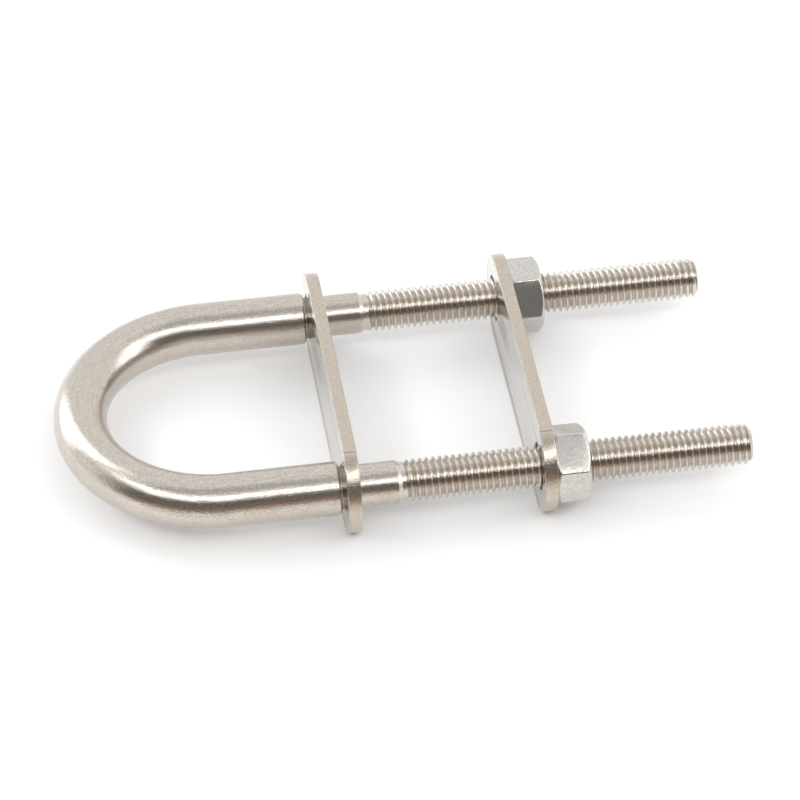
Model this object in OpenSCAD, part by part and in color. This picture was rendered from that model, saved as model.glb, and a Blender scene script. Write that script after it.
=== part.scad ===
// U-bolt with two oblong plates and two hex nuts, lying flat.
// +X runs along the legs from the bow to the threaded tips, +Y is across the legs, +Z is up.
// The origin is on the surface that the part lies on, below the middle of its length and width.

/* [Bow] */
// How far the thick rod of the bow stands out round the shanks
shoulder_step = 1; // [0.8:0.1:3]
// Distance between the centre lines of the two legs
leg_spacing = 50; // [40:0.5:90]
// Length of thick straight rod between the bow and the shoulders
straight_len = 20.5; // [5:0.5:60]
// Chamfer round each shoulder
shoulder_chamfer = 0.5; // [0.1:0.1:0.7]

/* [Legs] */
// Length of a leg from its shoulder to its tip
leg_len = 77; // [66:1:140]
// Diameter of the plain shank after the shoulder
shank_d = 8; // [6:0.1:10]
// Length of the plain shank
shank_len = 11; // [6:0.5:14]
// Depth of the neck below the shank
neck_depth = 0.45; // [0.2:0.05:0.8]
// Length of the neck, with the slopes at its two ends
neck_len = 2.3; // [1.6:0.1:4]
// Depth of the thread crests below the shank
crest_depth = 0.07; // [0.02:0.01:0.15]
// Depth of the incomplete turns at the tip below the shank
lead_depth = 0.25; // [0.2:0.05:0.4]
// Advance of the thread in one turn
thread_pitch = 1.25; // [0.75:0.05:1.75]
// Chamfer at the tip
tip_chamfer = 0.8; // [0.3:0.1:1.2]

/* [Plates] */
// Width of the plates, which is their height when the part lies flat
plate_w = 19; // [17:0.5:30]
// Thickness of the plates
plate_t = 2.5; // [1.5:0.1:4]
// Plate beyond the centre of each hole
plate_end = 8; // [7:0.5:16]
// Clearance of the plate holes all round the shank
hole_clearance = 0.5; // [0.35:0.05:0.8]
// Gap between the shoulders and the front plate
front_gap = 0.7; // [0.4:0.1:3]
// Distance between the two plates
grip = 33.9; // [12:0.1:40]

/* [Nuts] */
// Width of the nuts across their flats
nut_af = 13; // [12:0.1:17]
// Height of the nuts
nut_h = 6.5; // [4:0.1:9]
// Angle of the chamfers on the corners of the nuts
nut_chamfer_angle = 30; // [15:1:35]
// Clearance of the nut bore all round the thread crests
thread_clearance = 0.05; // [0.02:0.01:0.09]
// How far the countersink reaches outside the nut bore
countersink = 0.35; // [0.1:0.05:0.6]
// Turn of the left nut about its leg
nut_turn_left = -1.3; // [-30:0.1:30]
// Turn of the right nut about its leg
nut_turn_right = 34.3; // [-60:0.1:60]

/* [Hidden] */
$fn = 96;

seat_gap = 0.02;         // film between each nut and the rear plate
cut_over = 1;            // how far a cut runs past the face that it opens
chamfer_share = 0.95;    // chamfer circle of a nut as a share of its width across flats
countersink_angle = 60;  // half angle of the countersinks

leg_y = leg_spacing / 2;
shank_r = shank_d / 2;
bow_r = shank_r + shoulder_step;
neck_r = shank_r - neck_depth;
thread_r = shank_r - crest_depth;
lead_r = shank_r - lead_depth;
lead_len = 2 * thread_pitch;
hole_r = shank_r + hole_clearance;

// Stations along a leg, counted from its shoulder
thread_start = shank_len + neck_len;
lead_start = leg_len - tip_chamfer - lead_len;
front_x = front_gap;
rear_x = front_x + plate_t + grip;
nut_x = rear_x + plate_t + seat_gap;

plate_len = leg_spacing + 2 * plate_end;
end_y = plate_len / 2 - plate_w / 2;

// The shoulders' place in the part's frame
bow_tip = -(straight_len + leg_y + bow_r);
shoulder_x = -(leg_len + bow_tip) / 2;
axis_z = plate_w / 2;

// Turns what stands along +Z so that it lies along +X
module lay_along_x() {
    rotate([0, 90, 0]) children();
}

// Places what is drawn from a shoulder along +X on one leg: side is 1 for the left leg, -1 for the right
module on_leg(side, x) {
    translate([shoulder_x + x, side * leg_y, axis_z]) children();
}

// Half outline of a leg: radius across, distance from the shoulder up
function leg_outline() = [
    [0, -straight_len],
    [bow_r, -straight_len],
    [bow_r, -shoulder_chamfer],
    [bow_r - shoulder_chamfer, 0],
    [shank_r, 0],
    [shank_r, shank_len - neck_depth],
    [neck_r, shank_len],
    [neck_r, thread_start - (thread_r - neck_r)],
    [thread_r, thread_start],
    [thread_r, lead_start - (thread_r - lead_r)],
    [lead_r, lead_start],
    [lead_r, leg_len - tip_chamfer],
    [lead_r - tip_chamfer, leg_len],
    [0, leg_len]
];

module leg(side) {
    on_leg(side, 0) lay_along_x() rotate_extrude() polygon(leg_outline());
}

module bow() {
    translate([shoulder_x - straight_len, 0, axis_z])
        rotate([0, 0, 90])
            rotate_extrude(angle = 180) translate([leg_y, 0]) circle(r = bow_r);
}

module u_rod() {
    color([0.76, 0.73, 0.69]) union() {
        bow();
        leg(1);
        leg(-1);
    }
}

// Oblong outline with round ends and a hole for each leg
module plate_outline() {
    difference() {
        union() {
            square([plate_w, 2 * end_y], center = true);
            for (side = [-1, 1]) translate([0, side * end_y]) circle(d = plate_w);
        }
        for (side = [-1, 1]) translate([0, side * leg_y]) circle(r = hole_r);
    }
}

// A plate whose face towards the bow is at x from the shoulders
module plate(x) {
    translate([shoulder_x + x, 0, axis_z])
        lay_along_x() linear_extrude(height = plate_t) plate_outline();
}

module front_plate() {
    color([0.79, 0.76, 0.71]) plate(front_x);
}

module rear_plate() {
    color([0.79, 0.76, 0.71]) plate(rear_x);
}

// Round body with a cone at each end, which trims the corners of the hexagon
module nut_trim() {
    corner_r = nut_af / sqrt(3) + cut_over;
    chamfer_r = nut_af * chamfer_share / 2;
    drop = (corner_r - chamfer_r) * tan(nut_chamfer_angle);
    rotate_extrude() polygon([
        [0, 0],
        [chamfer_r, 0],
        [corner_r, drop],
        [corner_r, nut_h - drop],
        [chamfer_r, nut_h],
        [0, nut_h]
    ]);
}

// Bore over the thread crests, opened at both ends by the countersinks
module nut_bore() {
    bore_r = thread_r + thread_clearance;
    sink = countersink / tan(countersink_angle);
    rotate_extrude() polygon([
        [0, -cut_over],
        [bore_r + countersink, -cut_over],
        [bore_r + countersink, 0],
        [bore_r, sink],
        [bore_r, nut_h - sink],
        [bore_r + countersink, nut_h],
        [bore_r + countersink, nut_h + cut_over],
        [0, nut_h + cut_over]
    ]);
}

module nut(side, turn) {
    on_leg(side, nut_x) rotate([turn, 0, 0]) lay_along_x() difference() {
        intersection() {
            rotate([0, 0, 30]) cylinder(r = nut_af / sqrt(3), h = nut_h, $fn = 6);
            nut_trim();
        }
        nut_bore();
    }
}

module nut_left() {
    color([0.78, 0.75, 0.71]) nut(1, nut_turn_left);
}

module nut_right() {
    color([0.78, 0.75, 0.71]) nut(-1, nut_turn_right);
}

u_rod();
front_plate();
rear_plate();
nut_left();
nut_right();
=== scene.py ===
# A polished stainless U-bolt with two oblong plates and two hex nuts, lying on a pale table.
# The metal is shaped in millimetres about the part's own origin and brought to metres when done.
import math

import bpy
from mathutils import Matrix, Vector


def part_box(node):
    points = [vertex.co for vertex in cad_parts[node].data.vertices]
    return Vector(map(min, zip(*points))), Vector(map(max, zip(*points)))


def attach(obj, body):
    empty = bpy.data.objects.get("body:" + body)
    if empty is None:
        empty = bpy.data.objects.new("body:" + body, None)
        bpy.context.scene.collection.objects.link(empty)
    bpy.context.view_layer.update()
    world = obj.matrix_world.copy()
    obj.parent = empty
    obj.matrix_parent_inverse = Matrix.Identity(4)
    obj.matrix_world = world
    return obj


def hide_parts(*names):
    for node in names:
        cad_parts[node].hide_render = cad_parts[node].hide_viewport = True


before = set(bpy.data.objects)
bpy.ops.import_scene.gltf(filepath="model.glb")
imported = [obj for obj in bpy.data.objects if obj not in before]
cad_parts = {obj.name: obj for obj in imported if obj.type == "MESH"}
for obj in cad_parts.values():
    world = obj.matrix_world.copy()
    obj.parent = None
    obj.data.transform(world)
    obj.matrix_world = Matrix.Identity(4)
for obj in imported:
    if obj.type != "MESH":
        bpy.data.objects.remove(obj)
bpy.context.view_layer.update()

MM = 0.001

# Rod and legs in millimetres, with places along a leg counted from its shoulder
BOW_R = 5.0
SHANK_R = 4.0
NECK_R = 3.55
CREST_R = 3.93
LEAD_R = 3.75
LEG_LEN = 77.0
STRAIGHT_LEN = 20.5
SHANK_LEN = 11.0
THREAD_START = 12.75
LEAD_START = 73.7
SHOULDER_CHAMFER = 0.5
NECK_SLOPE = 0.75
TIP_CHAMFER = 0.8

# Thread: its advance in a turn, and the grooves in the legs and in the nuts
PITCH = 1.25
ROOT_R = 3.18
NUT_MINOR_R = 3.32
NUT_MAJOR_R = 4.02
HALF_GROOVE = 0.52
ROOT_ROUND = 0.06
CREST_ROUND_DEPTH = 0.045
CREST_ROUND_WIDTH = 0.085
THREAD_PLAY = 0.035
FLANK = math.tan(math.radians(30))
TURN_STEPS = 48
RUN_IN_STEPS = 36
RUN_IN_LIFT = 0.8
SKEW_DEG = 1.1

# Plates
HOLE_CLEARANCE = 0.5
PLATE_END_Y = 23.5
PLATE_SIDES = 128
PLATE_EDGE_BREAK = 0.14

# Nuts: width across flats, and each nut's turn about its leg in degrees
NUT_AF = 13.0
NUT_TURN = {1: -1.3, -1: 34.3}
CHAMFER_SHARE = 0.95
SINK_MOUTH_R = 4.33
NUT_EDGE_BREAK = 0.24
ROUND_SIDES = 96
HALF_STEP = math.pi / ROUND_SIDES

# Where a groove stands straight above each leg
GROOVE_AT = {1: 12.641, -1: 12.216}


def millimetres(node):
    """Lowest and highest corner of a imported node, in millimetres."""
    low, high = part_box(node)
    return low / MM, high / MM


ROD_LOW, ROD_HIGH = millimetres("u_rod")
SHOULDER_X = ROD_HIGH.x - LEG_LEN
LEG_Y = ROD_HIGH.y - BOW_R
AXIS_Z = (ROD_LOW.z + ROD_HIGH.z) / 2
BOW_X = SHOULDER_X - STRAIGHT_LEN


# ---------------------------------------------------------------- bench tools

def pick_only(piece):
    bpy.ops.object.select_all(action="DESELECT")
    piece.select_set(True)
    bpy.context.view_layer.objects.active = piece


def name_piece(name):
    piece = bpy.context.object
    piece.name = name
    piece.data.name = name
    return piece


def apply_place(piece):
    pick_only(piece)
    bpy.ops.object.transform_apply(location=True, rotation=True, scale=True)


def apply_modifier(piece, kind, **settings):
    pick_only(piece)
    bpy.ops.object.modifier_add(type=kind)
    modifier = piece.modifiers[-1]
    for key, value in settings.items():
        setattr(modifier, key, value)
    bpy.ops.object.modifier_apply(modifier=modifier.name)


def cut(piece, tool, operation="DIFFERENCE"):
    apply_modifier(piece, "BOOLEAN", object=tool, operation=operation, solver="EXACT")
    bpy.data.objects.remove(tool)


def copy_of(piece, name):
    pick_only(piece)
    bpy.ops.object.duplicate(linked=False)
    return name_piece(name)


def select_where(test):
    """Select the vertices that pass the test, with what lies between them, in edit mode."""
    piece = bpy.context.object
    bpy.ops.object.mode_set(mode="OBJECT")
    bpy.context.tool_settings.mesh_select_mode = (True, False, False)
    for part in (piece.data.polygons, piece.data.edges, piece.data.vertices):
        part.foreach_set("select", [False] * len(part))
    for vertex in piece.data.vertices:
        vertex.select = test(vertex)
    bpy.ops.object.mode_set(mode="EDIT")


def tidy_mesh():
    """In edit mode, merge doubles and turn every face outwards, then leave edit mode."""
    bpy.ops.mesh.select_all(action="SELECT")
    bpy.ops.mesh.remove_doubles(threshold=0.0002)
    bpy.ops.mesh.normals_make_consistent(inside=False)
    bpy.ops.object.mode_set(mode="OBJECT")


def start_disc(x, y, z, radius, sides):
    bpy.ops.object.select_all(action="DESELECT")
    bpy.ops.mesh.primitive_circle_add(
        vertices=sides, radius=radius, fill_type="NGON",
        location=(x, y, z), rotation=(0, math.pi / 2, 0))
    bpy.ops.object.mode_set(mode="EDIT")
    bpy.ops.mesh.select_mode(type="FACE")
    bpy.ops.mesh.select_all(action="SELECT")


def draw_out(stations, y, z):
    """Extrude the selected disc through stations of (x, radius) along one axis."""
    for (x_from, r_from), (x_to, r_to) in zip(stations, stations[1:]):
        bpy.ops.mesh.extrude_region_move(
            TRANSFORM_OT_translate={"value": (x_to - x_from, 0, 0)})
        grow = r_to / r_from
        bpy.ops.transform.resize(value=(1, grow, grow), center_override=(x_to, y, z))


def turned(name, stations, y, z, sides=ROUND_SIDES):
    """A round body turned about an axis along X."""
    x, radius = stations[0]
    start_disc(x, y, z, radius, sides)
    draw_out(stations, y, z)
    tidy_mesh()
    piece = name_piece(name)
    apply_place(piece)
    return piece


# ---------------------------------------------------------------- the bent rod

def leg_stations():
    """(x, radius) from the bow to the tip of a leg, in the part's frame."""
    slope_start = SHANK_LEN - (SHANK_R - NECK_R)
    stations = [
        (-STRAIGHT_LEN, BOW_R),
        (-SHOULDER_CHAMFER, BOW_R),
        (0, BOW_R - SHOULDER_CHAMFER),
        (0, SHANK_R),
        (slope_start, SHANK_R),
        (slope_start + NECK_SLOPE, NECK_R),
        (THREAD_START - (CREST_R - NECK_R), NECK_R),
        (THREAD_START, CREST_R),
        (LEAD_START - (CREST_R - LEAD_R), CREST_R),
        (LEAD_START, LEAD_R),
        (LEG_LEN - TIP_CHAMFER, LEAD_R),
        (LEG_LEN, LEAD_R - TIP_CHAMFER),
    ]
    return [(SHOULDER_X + x, radius) for x, radius in stations]


def thread_section(x, y, root_r, crest_r, clearance):
    """The outline of one groove as a wire, standing above the leg's axis at x."""
    def half(radius):
        return HALF_GROOVE - (CREST_R - radius) * FLANK - clearance

    low = root_r + ROOT_ROUND
    corner = crest_r - CREST_ROUND_DEPTH
    top = crest_r + 0.03
    flare = half(corner) + CREST_ROUND_WIDTH
    outline = [
        (-flare, top),
        (-half(corner), corner),
        (-half(low), low),
        (-half(root_r) * 0.55, root_r),
        (half(root_r) * 0.55, root_r),
        (half(low), low),
        (half(corner), corner),
        (flare, top),
    ]
    bpy.ops.object.select_all(action="DESELECT")
    bpy.ops.mesh.primitive_circle_add(
        vertices=len(outline), radius=0.5, fill_type="NOTHING", location=(x, y, AXIS_Z))
    piece = bpy.context.object
    places = [vertex.co.copy() for vertex in piece.data.vertices]
    for index, (across, radius) in enumerate(outline):
        select_where(lambda vertex: vertex.index == index)
        bpy.ops.transform.translate(value=Vector((across, 0, radius)) - places[index])
    bpy.ops.object.mode_set(mode="OBJECT")
    return piece


def groove_cutter(side, start, end, root_r, crest_r, clearance=0.0, run_in=False):
    """A closed coil with the section of one thread groove, right-handed about a leg."""
    turns = math.ceil((end - start) / PITCH)
    y = side * LEG_Y
    piece = thread_section(SHOULDER_X + start, y, root_r, crest_r, clearance)
    apply_modifier(
        piece, "SCREW", axis="X", angle=2 * math.pi, screw_offset=PITCH, iterations=turns,
        steps=TURN_STEPS, render_steps=TURN_STEPS, use_merge_vertices=False)
    bpy.ops.object.mode_set(mode="EDIT")
    bpy.ops.mesh.select_mode(type="EDGE")
    bpy.ops.mesh.select_all(action="DESELECT")
    bpy.ops.mesh.fill_holes(sides=0)
    bpy.ops.mesh.select_all(action="SELECT")
    bpy.ops.mesh.fill_holes(sides=0)
    bpy.ops.mesh.normals_make_consistent(inside=False)
    bpy.ops.object.mode_set(mode="OBJECT")
    if run_in:
        lift_first_turn(piece)
    piece.rotation_euler.x = math.radians(SKEW_DEG)
    piece.location.x += PITCH * SKEW_DEG / 360
    apply_place(piece)
    return piece


def lift_first_turn(piece):
    """Raise the start of a cutter out of the metal, so that the thread runs in gently."""
    points = 8
    for step in range(RUN_IN_STEPS):
        share = 1 - step / RUN_IN_STEPS
        angle = math.pi / 2 + 2 * math.pi * step / TURN_STEPS
        outward = Vector((0, math.cos(angle), math.sin(angle)))
        for vertex in piece.data.vertices[step * points:(step + 1) * points]:
            vertex.co += outward * RUN_IN_LIFT * share


def bent_rod():
    stations = leg_stations()
    inward = [(x, radius) for x, radius in reversed(stations)]
    start_disc(inward[0][0], LEG_Y, AXIS_Z, inward[0][1], ROUND_SIDES)
    draw_out(inward, LEG_Y, AXIS_Z)
    bpy.ops.mesh.spin(
        steps=96, angle=-math.pi, dupli=False, center=(BOW_X, 0, AXIS_Z), axis=(0, 0, 1))
    draw_out(stations, -LEG_Y, AXIS_Z)
    tidy_mesh()
    rod = name_piece("bent_rod")
    apply_place(rod)
    for side in (1, -1):
        cutter = groove_cutter(
            side, GROOVE_AT[side] - PITCH, LEG_LEN + PITCH, ROOT_R, CREST_R, run_in=True)
        cut(rod, cutter)
    return rod


# ---------------------------------------------------------------- plates

def oblong_plate(name, node):
    low, high = millimetres(node)
    end_r = (high.z - low.z) / 2
    end_y = high.y - end_r
    hole_r = SHANK_R + HOLE_CLEARANCE
    bpy.ops.object.select_all(action="DESELECT")
    bpy.ops.mesh.primitive_circle_add(
        vertices=PLATE_SIDES, radius=end_r, fill_type="NOTHING",
        location=(low.x, end_y, AXIS_Z), rotation=(0, math.pi / 2, 0))
    plate = name_piece(name)
    apply_place(plate)
    select_where(lambda vertex: vertex.co.y < end_y - 0.01)
    bpy.ops.mesh.delete(type="VERT")
    bpy.ops.object.mode_set(mode="OBJECT")
    apply_modifier(plate, "MIRROR", use_axis=(False, True, False), use_mirror_merge=False)
    for height in (high.z, low.z):
        select_where(lambda vertex: abs(vertex.co.z - height) < 0.001)
        bpy.ops.mesh.edge_face_add()
    bpy.ops.mesh.select_all(action="SELECT")
    bpy.ops.mesh.edge_face_add()
    bpy.ops.mesh.extrude_region_move(
        TRANSFORM_OT_translate={"value": (high.x - low.x, 0, 0)})
    tidy_mesh()
    for side in (1, -1):
        length = [(low.x - 1, hole_r), (high.x + 1, hole_r)]
        punch = turned("punch", length, side * LEG_Y, AXIS_Z, PLATE_SIDES)
        cut(plate, punch)
    apply_modifier(
        plate, "BEVEL", width=PLATE_EDGE_BREAK, segments=3, limit_method="ANGLE",
        angle_limit=math.radians(60), use_clamp_overlap=False)
    return plate


# ---------------------------------------------------------------- nuts

def nut_blank():
    """A hexagon nut without its bore, its bearing face at x = 0 and its axis on the X axis."""
    low, high = millimetres("nut_left")
    height = high.x - low.x
    chamfer_r = NUT_AF * CHAMFER_SHARE / 2
    corner_r = NUT_AF / math.sqrt(3)
    outer_r = corner_r + 1
    drop = (outer_r - chamfer_r) * FLANK
    bpy.ops.object.select_all(action="DESELECT")
    bpy.ops.mesh.primitive_cylinder_add(
        vertices=6, radius=corner_r, depth=height,
        location=(height / 2, 0, 0), rotation=(0, math.pi / 2, 0))
    blank = name_piece("nut_blank")
    apply_place(blank)
    blank.rotation_euler.x = HALF_STEP
    apply_place(blank)
    trim = turned(
        "trim",
        [(0, chamfer_r), (drop, outer_r), (height - drop, outer_r), (height, chamfer_r)], 0, 0)
    cut(blank, trim, "INTERSECT")
    apply_modifier(
        blank, "BEVEL", width=NUT_EDGE_BREAK, segments=3, limit_method="ANGLE",
        angle_limit=math.radians(45), use_clamp_overlap=False)
    sink = math.tan(math.radians(60))
    inner = NUT_MINOR_R - 0.06
    depth = (SINK_MOUTH_R - inner) / sink
    over = 0.2
    outer = SINK_MOUTH_R + over * sink
    bore = turned(
        "bore", [(-over, outer), (depth, inner), (height - depth, inner), (height + over, outer)],
        0, 0)
    cut(blank, bore)
    return blank


def hex_nut(name, node, side, blank):
    low, high = millimetres(node)
    nut = copy_of(blank, name)
    nut.rotation_euler.x = math.radians(NUT_TURN[side]) - HALF_STEP
    nut.location = (low.x, side * LEG_Y, AXIS_Z)
    apply_place(nut)
    y = side * LEG_Y
    tap = turned("tap", [(low.x - 1, NUT_MAJOR_R), (high.x + 1, NUT_MAJOR_R)], y, AXIS_Z)
    past = 3
    turns = math.floor((low.x - SHOULDER_X - past - GROOVE_AT[side]) / PITCH)
    start = GROOVE_AT[side] + turns * PITCH
    end = high.x - SHOULDER_X + past
    cutter = groove_cutter(side, start, end, NUT_MINOR_R, NUT_MAJOR_R, clearance=THREAD_PLAY)
    cut(tap, cutter)
    cut(nut, tap)
    return nut


# ---------------------------------------------------------------- nodes

def link(tree, source, target):
    tree.links.new(source, target)


def node(tree, kind, **settings):
    made = tree.nodes.new(kind)
    for key, value in settings.items():
        setattr(made, key, value)
    return made


def feed(tree, socket, value):
    if isinstance(value, bpy.types.NodeSocket):
        tree.links.new(value, socket)
    else:
        socket.default_value = value


def calc(tree, operation, *values):
    made = node(tree, "ShaderNodeMath", operation=operation)
    for socket, value in zip(made.inputs, values):
        feed(tree, socket, value)
    return made.outputs[0]


def ramp(tree, value, low, high, out_low=0.0, out_high=1.0):
    """A smooth change from out_low to out_high as value goes from low to high."""
    made = node(tree, "ShaderNodeMapRange", interpolation_type="SMOOTHSTEP")
    feed(tree, made.inputs["Value"], value)
    made.inputs["From Min"].default_value = low
    made.inputs["From Max"].default_value = high
    made.inputs["To Min"].default_value = out_low
    made.inputs["To Max"].default_value = out_high
    return made.outputs["Result"]


def band(tree, value, low, high, soft):
    """One between low and high, falling to nothing over soft on both sides."""
    rise = ramp(tree, value, low - soft, low + soft)
    fall = ramp(tree, value, high - soft, high + soft, 1.0, 0.0)
    return calc(tree, "MULTIPLY", rise, fall)


def mix_colour(tree, share, first, second):
    made = node(tree, "ShaderNodeMix", data_type="RGBA")
    feed(tree, made.inputs["Factor"], share)
    feed(tree, made.inputs[6], first)
    feed(tree, made.inputs[7], second)
    return made.outputs[2]


def noise(tree, place, scale, detail=3.0, rough=0.5):
    made = node(tree, "ShaderNodeTexNoise")
    feed(tree, made.inputs["Vector"], place)
    made.inputs["Scale"].default_value = scale
    made.inputs["Detail"].default_value = detail
    made.inputs["Roughness"].default_value = rough
    return made.outputs["Fac"]


def new_group(name, inputs, outputs):
    tree = bpy.data.node_groups.new(name, "ShaderNodeTree")
    for label, kind, value in inputs:
        socket = tree.interface.new_socket(name=label, in_out="INPUT", socket_type=kind)
        if value is not None:
            socket.default_value = value
    for label, kind in outputs:
        tree.interface.new_socket(name=label, in_out="OUTPUT", socket_type=kind)
    start = tree.nodes.new("NodeGroupInput")
    end = tree.nodes.new("NodeGroupOutput")
    return tree, start, end


def use_group(tree, group, **values):
    made = node(tree, "ShaderNodeGroup", node_tree=group)
    for label, value in values.items():
        feed(tree, made.inputs[label.replace("_", " ").capitalize()], value)
    return made


def polish_group():
    """Fine pits and long faint lines left by polishing, as a height and a tone."""
    tree, start, end = new_group(
        "polished_skin",
        [("Place", "NodeSocketVector", None), ("Pit size", "NodeSocketFloat", 0.35),
         ("Line length", "NodeSocketFloat", 8.0)],
        [("Height", "NodeSocketFloat"), ("Tone", "NodeSocketFloat")])
    place = start.outputs["Place"]
    per_size = calc(tree, "DIVIDE", 1.0, start.outputs["Pit size"])
    pits = node(tree, "ShaderNodeTexNoise")
    link(tree, place, pits.inputs["Vector"])
    link(tree, per_size, pits.inputs["Scale"])
    pits.inputs["Detail"].default_value = 3.0
    pits.inputs["Roughness"].default_value = 0.6
    squash = node(tree, "ShaderNodeVectorMath", operation="MULTIPLY")
    link(tree, place, squash.inputs[0])
    stretch = node(tree, "ShaderNodeCombineXYZ")
    link(tree, calc(tree, "DIVIDE", 1.0, start.outputs["Line length"]), stretch.inputs["X"])
    stretch.inputs["Y"].default_value = 1.0
    stretch.inputs["Z"].default_value = 1.0
    link(tree, stretch.outputs[0], squash.inputs[1])
    lines = noise(tree, squash.outputs[0], 2.2, 4.0, 0.55)
    grain = node(tree, "ShaderNodeTexNoise")
    link(tree, place, grain.inputs["Vector"])
    link(tree, calc(tree, "MULTIPLY", per_size, 2.3), grain.inputs["Scale"])
    grain.inputs["Detail"].default_value = 1.0
    fine = calc(tree, "MULTIPLY", grain.outputs["Fac"], 0.5)
    coarse = calc(tree, "MULTIPLY", pits.outputs["Fac"], 0.35)
    long = calc(tree, "MULTIPLY", lines, 0.15)
    height = calc(tree, "ADD", calc(tree, "ADD", fine, coarse), long)
    tone = ramp(tree, calc(tree, "ADD", height, long), 0.5, 0.65)
    link(tree, height, end.inputs["Height"])
    link(tree, tone, end.inputs["Tone"])
    return tree


def start_material(name):
    material = bpy.data.materials.new(name)
    material.use_nodes = True
    tree = material.node_tree
    shader = tree.nodes["Principled BSDF"]
    shader.inputs["Metallic"].default_value = 1.0
    return material, tree, shader


def raise_bump(tree, shader, height, distance, strength):
    bump = node(tree, "ShaderNodeBump")
    link(tree, height, bump.inputs["Height"])
    bump.inputs["Distance"].default_value = distance
    bump.inputs["Strength"].default_value = strength
    link(tree, bump.outputs["Normal"], shader.inputs["Normal"])


def in_millimetres(tree, socket):
    scaled = node(tree, "ShaderNodeVectorMath", operation="SCALE")
    link(tree, socket, scaled.inputs[0])
    scaled.inputs["Scale"].default_value = 1 / MM
    return scaled.outputs[0]


def rod_steel(groups):
    material, tree, shader = start_material("polished_rod_steel")
    straight = node(tree, "ShaderNodeAttribute", attribute_name="straightened")
    place = straight.outputs["Vector"]
    skin = use_group(tree, groups["polish"], place=place, pit_size=0.45, line_length=7.0)
    bright = (0.69, 0.632, 0.566, 1)
    dull = (0.56, 0.513, 0.459, 1)
    colour = mix_colour(tree, skin.outputs["Tone"], bright, dull)
    parts = node(tree, "ShaderNodeSeparateXYZ")
    link(tree, place, parts.inputs[0])
    outward_squared = calc(tree, "MULTIPLY", parts.outputs["Y"], parts.outputs["Y"])
    upward_squared = calc(tree, "MULTIPLY", parts.outputs["Z"], parts.outputs["Z"])
    radius = calc(tree, "SQRT", calc(tree, "ADD", outward_squared, upward_squared))
    threads = ramp(tree, radius, CREST_R - 0.02, CREST_R + 0.05, 0.5, 0.0)
    colour = mix_colour(tree, threads, colour, (0.76, 0.715, 0.65, 1))
    # Thread roots darker and slightly rougher, in noisy patches: dirt and painted shade in the
    # roots.
    deep = ramp(tree, radius, ROOT_R, ROOT_R + 0.35, 1.0, 0.0)
    patchy = ramp(tree, noise(tree, place, 0.8), 0.3, 0.7, 0.5, 1.0)
    root_dirt_and_shade = calc(tree, "MULTIPLY", deep, patchy)
    root_darkening = calc(tree, "MULTIPLY", root_dirt_and_shade, 0.4)
    colour = mix_colour(tree, root_darkening, colour, (0.33, 0.29, 0.25, 1))
    # Painted shade: a dark band round each leg just past the shoulder, in the crevice beside the
    # front plate.
    shoulder = STRAIGHT_LEN + LEG_Y * math.pi / 2
    along = calc(tree, "ABSOLUTE", parts.outputs["X"])
    corner = calc(tree, "MULTIPLY", band(tree, along, shoulder + 0.05, shoulder + 0.7, 0.2), 0.75)
    colour = mix_colour(tree, corner, colour, (0.17, 0.14, 0.12, 1))
    link(tree, colour, shader.inputs["Base Color"])
    worn = ramp(tree, skin.outputs["Tone"], 0.0, 1.0, 0.10, 0.16)
    rough = calc(tree, "ADD", worn, calc(tree, "MULTIPLY", root_dirt_and_shade, 0.03))
    link(tree, rough, shader.inputs["Roughness"])
    raise_bump(tree, shader, skin.outputs["Height"], 0.00007, 0.85)
    return material


def plate_steel(groups):
    material, tree, shader = start_material("blanked_plate_steel")
    coords = node(tree, "ShaderNodeTexCoord")
    place = in_millimetres(tree, coords.outputs["Object"])
    turn = node(tree, "ShaderNodeMapping")
    turn.inputs["Rotation"].default_value = (0, 0, math.pi / 2)
    link(tree, place, turn.inputs["Vector"])
    skin = use_group(
        tree, groups["polish"], place=turn.outputs["Vector"], pit_size=0.5, line_length=12.0)
    facing = node(tree, "ShaderNodeSeparateXYZ")
    link(tree, coords.outputs["Normal"], facing.inputs[0])
    flat = ramp(tree, calc(tree, "ABSOLUTE", facing.outputs["X"]), 0.5, 0.9)
    speckle = noise(tree, place, 3.2, 4.0, 0.65)
    edge = mix_colour(
        tree, ramp(tree, speckle, 0.35, 0.65), (0.55, 0.485, 0.405, 1), (0.67, 0.60, 0.515, 1))
    parts = node(tree, "ShaderNodeSeparateXYZ")
    link(tree, place, parts.inputs[0])
    across = calc(tree, "MULTIPLY_ADD", parts.outputs["Y"], -1.0, -PLATE_END_Y)
    upward = calc(tree, "SUBTRACT", parts.outputs["Z"], AXIS_Z)
    round_end = calc(tree, "MULTIPLY", calc(tree, "ARCTAN2", upward, across), 180 / math.pi)
    upper_line = band(tree, round_end, 74.6, 76.0, 0.5)
    lower_line = band(tree, round_end, -27.0, -25.8, 0.5)
    shear_lines = calc(tree, "MULTIPLY", calc(tree, "MAXIMUM", upper_line, lower_line), 0.6)
    edge = mix_colour(tree, shear_lines, edge, (0.25, 0.21, 0.17, 1))
    face = mix_colour(
        tree, skin.outputs["Tone"], (0.74, 0.715, 0.69, 1), (0.68, 0.66, 0.635, 1))
    link(tree, mix_colour(tree, flat, edge, face), shader.inputs["Base Color"])
    edge_rough = ramp(tree, speckle, 0.3, 0.7, 0.15, 0.25)
    rough = node(tree, "ShaderNodeMix", data_type="FLOAT")
    link(tree, flat, rough.inputs["Factor"])
    link(tree, edge_rough, rough.inputs[2])
    link(tree, ramp(tree, skin.outputs["Tone"], 0.0, 1.0, 0.12, 0.2), rough.inputs[3])
    link(tree, rough.outputs[0], shader.inputs["Roughness"])
    fine = calc(tree, "MULTIPLY", skin.outputs["Height"], 0.25)
    torn = calc(tree, "MULTIPLY", speckle, ramp(tree, flat, 0, 1, 1.0, 0.0))
    height = calc(tree, "ADD", fine, calc(tree, "MULTIPLY", torn, 0.9))
    raise_bump(tree, shader, height, 0.00006, 0.8)
    return material


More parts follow.
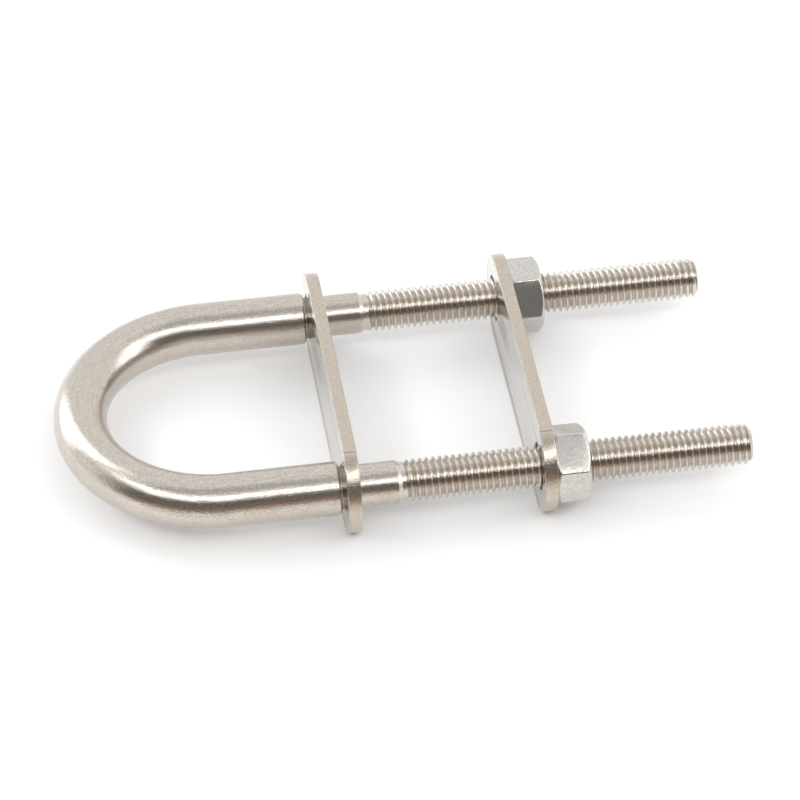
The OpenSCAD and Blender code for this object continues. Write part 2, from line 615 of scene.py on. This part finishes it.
def nut_steel(groups):
    material, tree, shader = start_material("satin_nut_steel")
    coords = node(tree, "ShaderNodeTexCoord")
    place = in_millimetres(tree, coords.outputs["Object"])
    skin = use_group(tree, groups["polish"], place=place, pit_size=0.3, line_length=1.5)
    blotch = noise(tree, place, 0.9, 3.0)
    colour = mix_colour(
        tree, skin.outputs["Tone"], (0.765, 0.734, 0.697, 1), (0.59, 0.563, 0.533, 1))
    patches = ramp(tree, blotch, 0.4, 0.75, 0.0, 0.3)
    colour = mix_colour(tree, patches, colour, (0.60, 0.57, 0.535, 1))
    link(tree, colour, shader.inputs["Base Color"])
    rough = ramp(tree, skin.outputs["Tone"], 0.0, 1.0, 0.15, 0.25)
    link(tree, rough, shader.inputs["Roughness"])
    raise_bump(tree, shader, skin.outputs["Height"], 0.00005, 0.6)
    return material


# ---------------------------------------------------------------- studio

def sky_angles(tree):
    """In degrees: height above the horizon, angle round from the near side, and over the top."""
    coords = node(tree, "ShaderNodeTexCoord")
    parts = node(tree, "ShaderNodeSeparateXYZ")
    link(tree, coords.outputs["Generated"], parts.inputs[0])
    degrees = 180 / math.pi
    nearward = calc(tree, "MULTIPLY", parts.outputs["Y"], -1.0)
    height = calc(tree, "ARCSINE", parts.outputs["Z"])
    round_near = calc(tree, "ARCTAN2", parts.outputs["X"], nearward)
    over = calc(tree, "ARCTAN2", parts.outputs["Z"], nearward)
    return [calc(tree, "MULTIPLY", angle, degrees) for angle in (height, round_near, over)]


def studio_world():
    """A white tent, open and dark on the near side, with a strip light and two tall lights."""
    world = bpy.data.worlds.new("tent")
    bpy.context.scene.world = world
    world.use_nodes = True
    tree = world.node_tree
    tree.nodes.clear()
    height, round_near, over = sky_angles(tree)
    colour = mix_colour(
        tree, ramp(tree, height, 0, 14), (0.84, 0.84, 0.84, 1), (0.96, 0.96, 0.96, 1))
    colour = mix_colour(tree, band(tree, over, 66, 98, 7), colour, (0.68, 0.68, 0.68, 1))
    colour = mix_colour(tree, band(tree, over, 80.5, 84.0, 1.0), colour, (0.30, 0.29, 0.28, 1))
    opening = calc(
        tree, "MULTIPLY", band(tree, round_near, -78, 60, 12), band(tree, height, -12, 40, 4))
    shade = mix_colour(
        tree, ramp(tree, height, 3, 18), (0.30, 0.205, 0.155, 1), (0.18, 0.175, 0.17, 1))
    colour = mix_colour(tree, opening, colour, shade)
    strip = calc(
        tree, "MULTIPLY", band(tree, round_near, -95, 62, 10), band(tree, height, 47, 54.5, 2.5))
    rays = node(tree, "ShaderNodeLightPath")
    glare = mix_colour(
        tree, rays.outputs["Is Diffuse Ray"], (4.4, 4.4, 4.4, 1), (7.8, 7.8, 7.8, 1))
    colour = mix_colour(tree, strip, colour, glare)
    left = calc(
        tree, "MULTIPLY", band(tree, round_near, -147, -122, 5), band(tree, height, 0, 55, 5))
    colour = mix_colour(tree, left, colour, (3.0, 3.0, 3.0, 1))
    right = calc(
        tree, "MULTIPLY", band(tree, round_near, 64, 90, 6), band(tree, height, 6, 56, 5))
    colour = mix_colour(tree, right, colour, (2.6, 2.6, 2.6, 1))
    background = node(tree, "ShaderNodeBackground")
    link(tree, colour, background.inputs["Color"])
    background.inputs["Strength"].default_value = 1.0
    output = node(tree, "ShaderNodeOutputWorld")
    link(tree, background.outputs[0], output.inputs["Surface"])


def table_top():
    bpy.ops.object.select_all(action="DESELECT")
    bpy.ops.mesh.primitive_plane_add(size=8, location=(0, 0, 0))
    table = name_piece("table")
    material = bpy.data.materials.new("pale_table")
    material.use_nodes = True
    tree = material.node_tree
    shader = tree.nodes["Principled BSDF"]
    # The table is painted darker in reflections (0.89 for glossy rays, 0.965 otherwise): painted
    # shade on the floor as the metal mirrors it.
    rays = node(tree, "ShaderNodeLightPath")
    pale = mix_colour(
        tree, rays.outputs["Is Glossy Ray"], (0.965, 0.965, 0.97, 1), (0.89, 0.89, 0.89, 1))
    link(tree, pale, shader.inputs["Base Color"])
    shader.inputs["Roughness"].default_value = 0.6
    shader.inputs["Specular IOR Level"].default_value = 0.2
    table.data.materials.append(material)


def painted_reflection_card():
    """A glowing card lying in front, seen only in the polished metal: a painted reflection that
    is white next to the part and dark brown farther out.
    """
    near, far = -0.036, -3.0
    bpy.ops.object.select_all(action="DESELECT")
    bpy.ops.mesh.primitive_plane_add(size=1, location=(0, (near + far) / 2, 0.004))
    flag = name_piece("painted_reflection_card")
    flag.scale = (5, near - far, 1)
    apply_place(flag)
    material = bpy.data.materials.new("painted_reflection_brown")
    material.use_nodes = True
    tree = material.node_tree
    shader = tree.nodes["Principled BSDF"]
    shader.inputs["Base Color"].default_value = (0, 0, 0, 1)
    coords = node(tree, "ShaderNodeTexCoord")
    parts = node(tree, "ShaderNodeSeparateXYZ")
    link(tree, coords.outputs["Object"], parts.inputs[0])
    fade = ramp(tree, parts.outputs["Y"], -0.1, near)
    colour = mix_colour(tree, fade, (0.38, 0.31, 0.26, 1), (1.0, 0.98, 0.96, 1))
    link(tree, colour, shader.inputs["Emission Color"])
    shader.inputs["Emission Strength"].default_value = 1.0
    shader.inputs["Specular IOR Level"].default_value = 0.0
    flag.data.materials.append(material)
    flag.visible_camera = False
    flag.visible_diffuse = False
    flag.visible_shadow = False


# ---------------------------------------------------------------- camera

CAMERA_PLACE = Vector((-0.078547, -0.576209, 0.502970))
CAMERA_AIM = Vector((0.001412, -0.002166, 0.0095))
CAMERA_ROLL = math.radians(-0.968)
CAMERA_LENS = 181.67


def camera():
    data = bpy.data.cameras.new("camera")
    data.lens = CAMERA_LENS
    data.sensor_width = 36
    data.clip_start = 0.02
    data.clip_end = 20
    eye = bpy.data.objects.new("camera", data)
    bpy.context.scene.collection.objects.link(eye)
    forward = (CAMERA_AIM - CAMERA_PLACE).normalized()
    level = forward.cross(Vector((0, 0, 1))).normalized()
    above = level.cross(forward)
    right = level * math.cos(CAMERA_ROLL) + above * math.sin(CAMERA_ROLL)
    up = above * math.cos(CAMERA_ROLL) - level * math.sin(CAMERA_ROLL)
    turn = Matrix((right, up, -forward)).transposed()
    eye.matrix_world = Matrix.Translation(CAMERA_PLACE) @ turn.to_4x4()
    bpy.context.scene.camera = eye


# ---------------------------------------------------------------- putting it together

def note_straightened(rod):
    """Note each point's place as if the rod were straight, so that the grain follows the bow."""
    attribute = rod.data.attributes.new("straightened", "FLOAT_VECTOR", "POINT")
    for index, vertex in enumerate(rod.data.vertices):
        place = vertex.co
        if place.x >= BOW_X:
            side = 1 if place.y > 0 else -1
            along = side * (place.x - BOW_X + LEG_Y * math.pi / 2)
            outward = side * place.y - LEG_Y
        else:
            reach = math.hypot(place.x - BOW_X, place.y)
            along = LEG_Y * math.asin(max(-1.0, min(1.0, place.y / reach)))
            outward = reach - LEG_Y
        attribute.data[index].vector = (along, outward, place.z - AXIS_Z)


def finish_piece(piece, body, node_name, material, angle):
    piece.data.materials.clear()
    piece.data.materials.append(material)
    pick_only(piece)
    bpy.ops.object.mode_set(mode="EDIT")
    tidy_mesh()
    bpy.ops.object.shade_smooth_by_angle(angle=math.radians(angle))
    if node_name == "u_rod":
        note_straightened(piece)
    piece.scale = (MM, MM, MM)
    apply_place(piece)
    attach(piece, body)
    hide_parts(node_name)


def build():
    groups = {"polish": polish_group()}
    rod_finish = rod_steel(groups)
    plate_finish = plate_steel(groups)
    nut_finish = nut_steel(groups)
    rod = bent_rod()
    finish_piece(rod, "rod", "u_rod", rod_finish, 30)
    for name in ("front_plate", "rear_plate"):
        plate = oblong_plate("oblong_" + name, name)
        finish_piece(plate, name, name, plate_finish, 30)
    blank = nut_blank()
    for name, side in (("nut_left", 1), ("nut_right", -1)):
        nut = hex_nut("hex_" + name, name, side, blank)
        finish_piece(nut, name, name, nut_finish, 25)
    bpy.data.objects.remove(blank)


build()
table_top()
studio_world()
painted_reflection_card()
camera()
bpy.context.scene.view_settings.view_transform = "Standard"
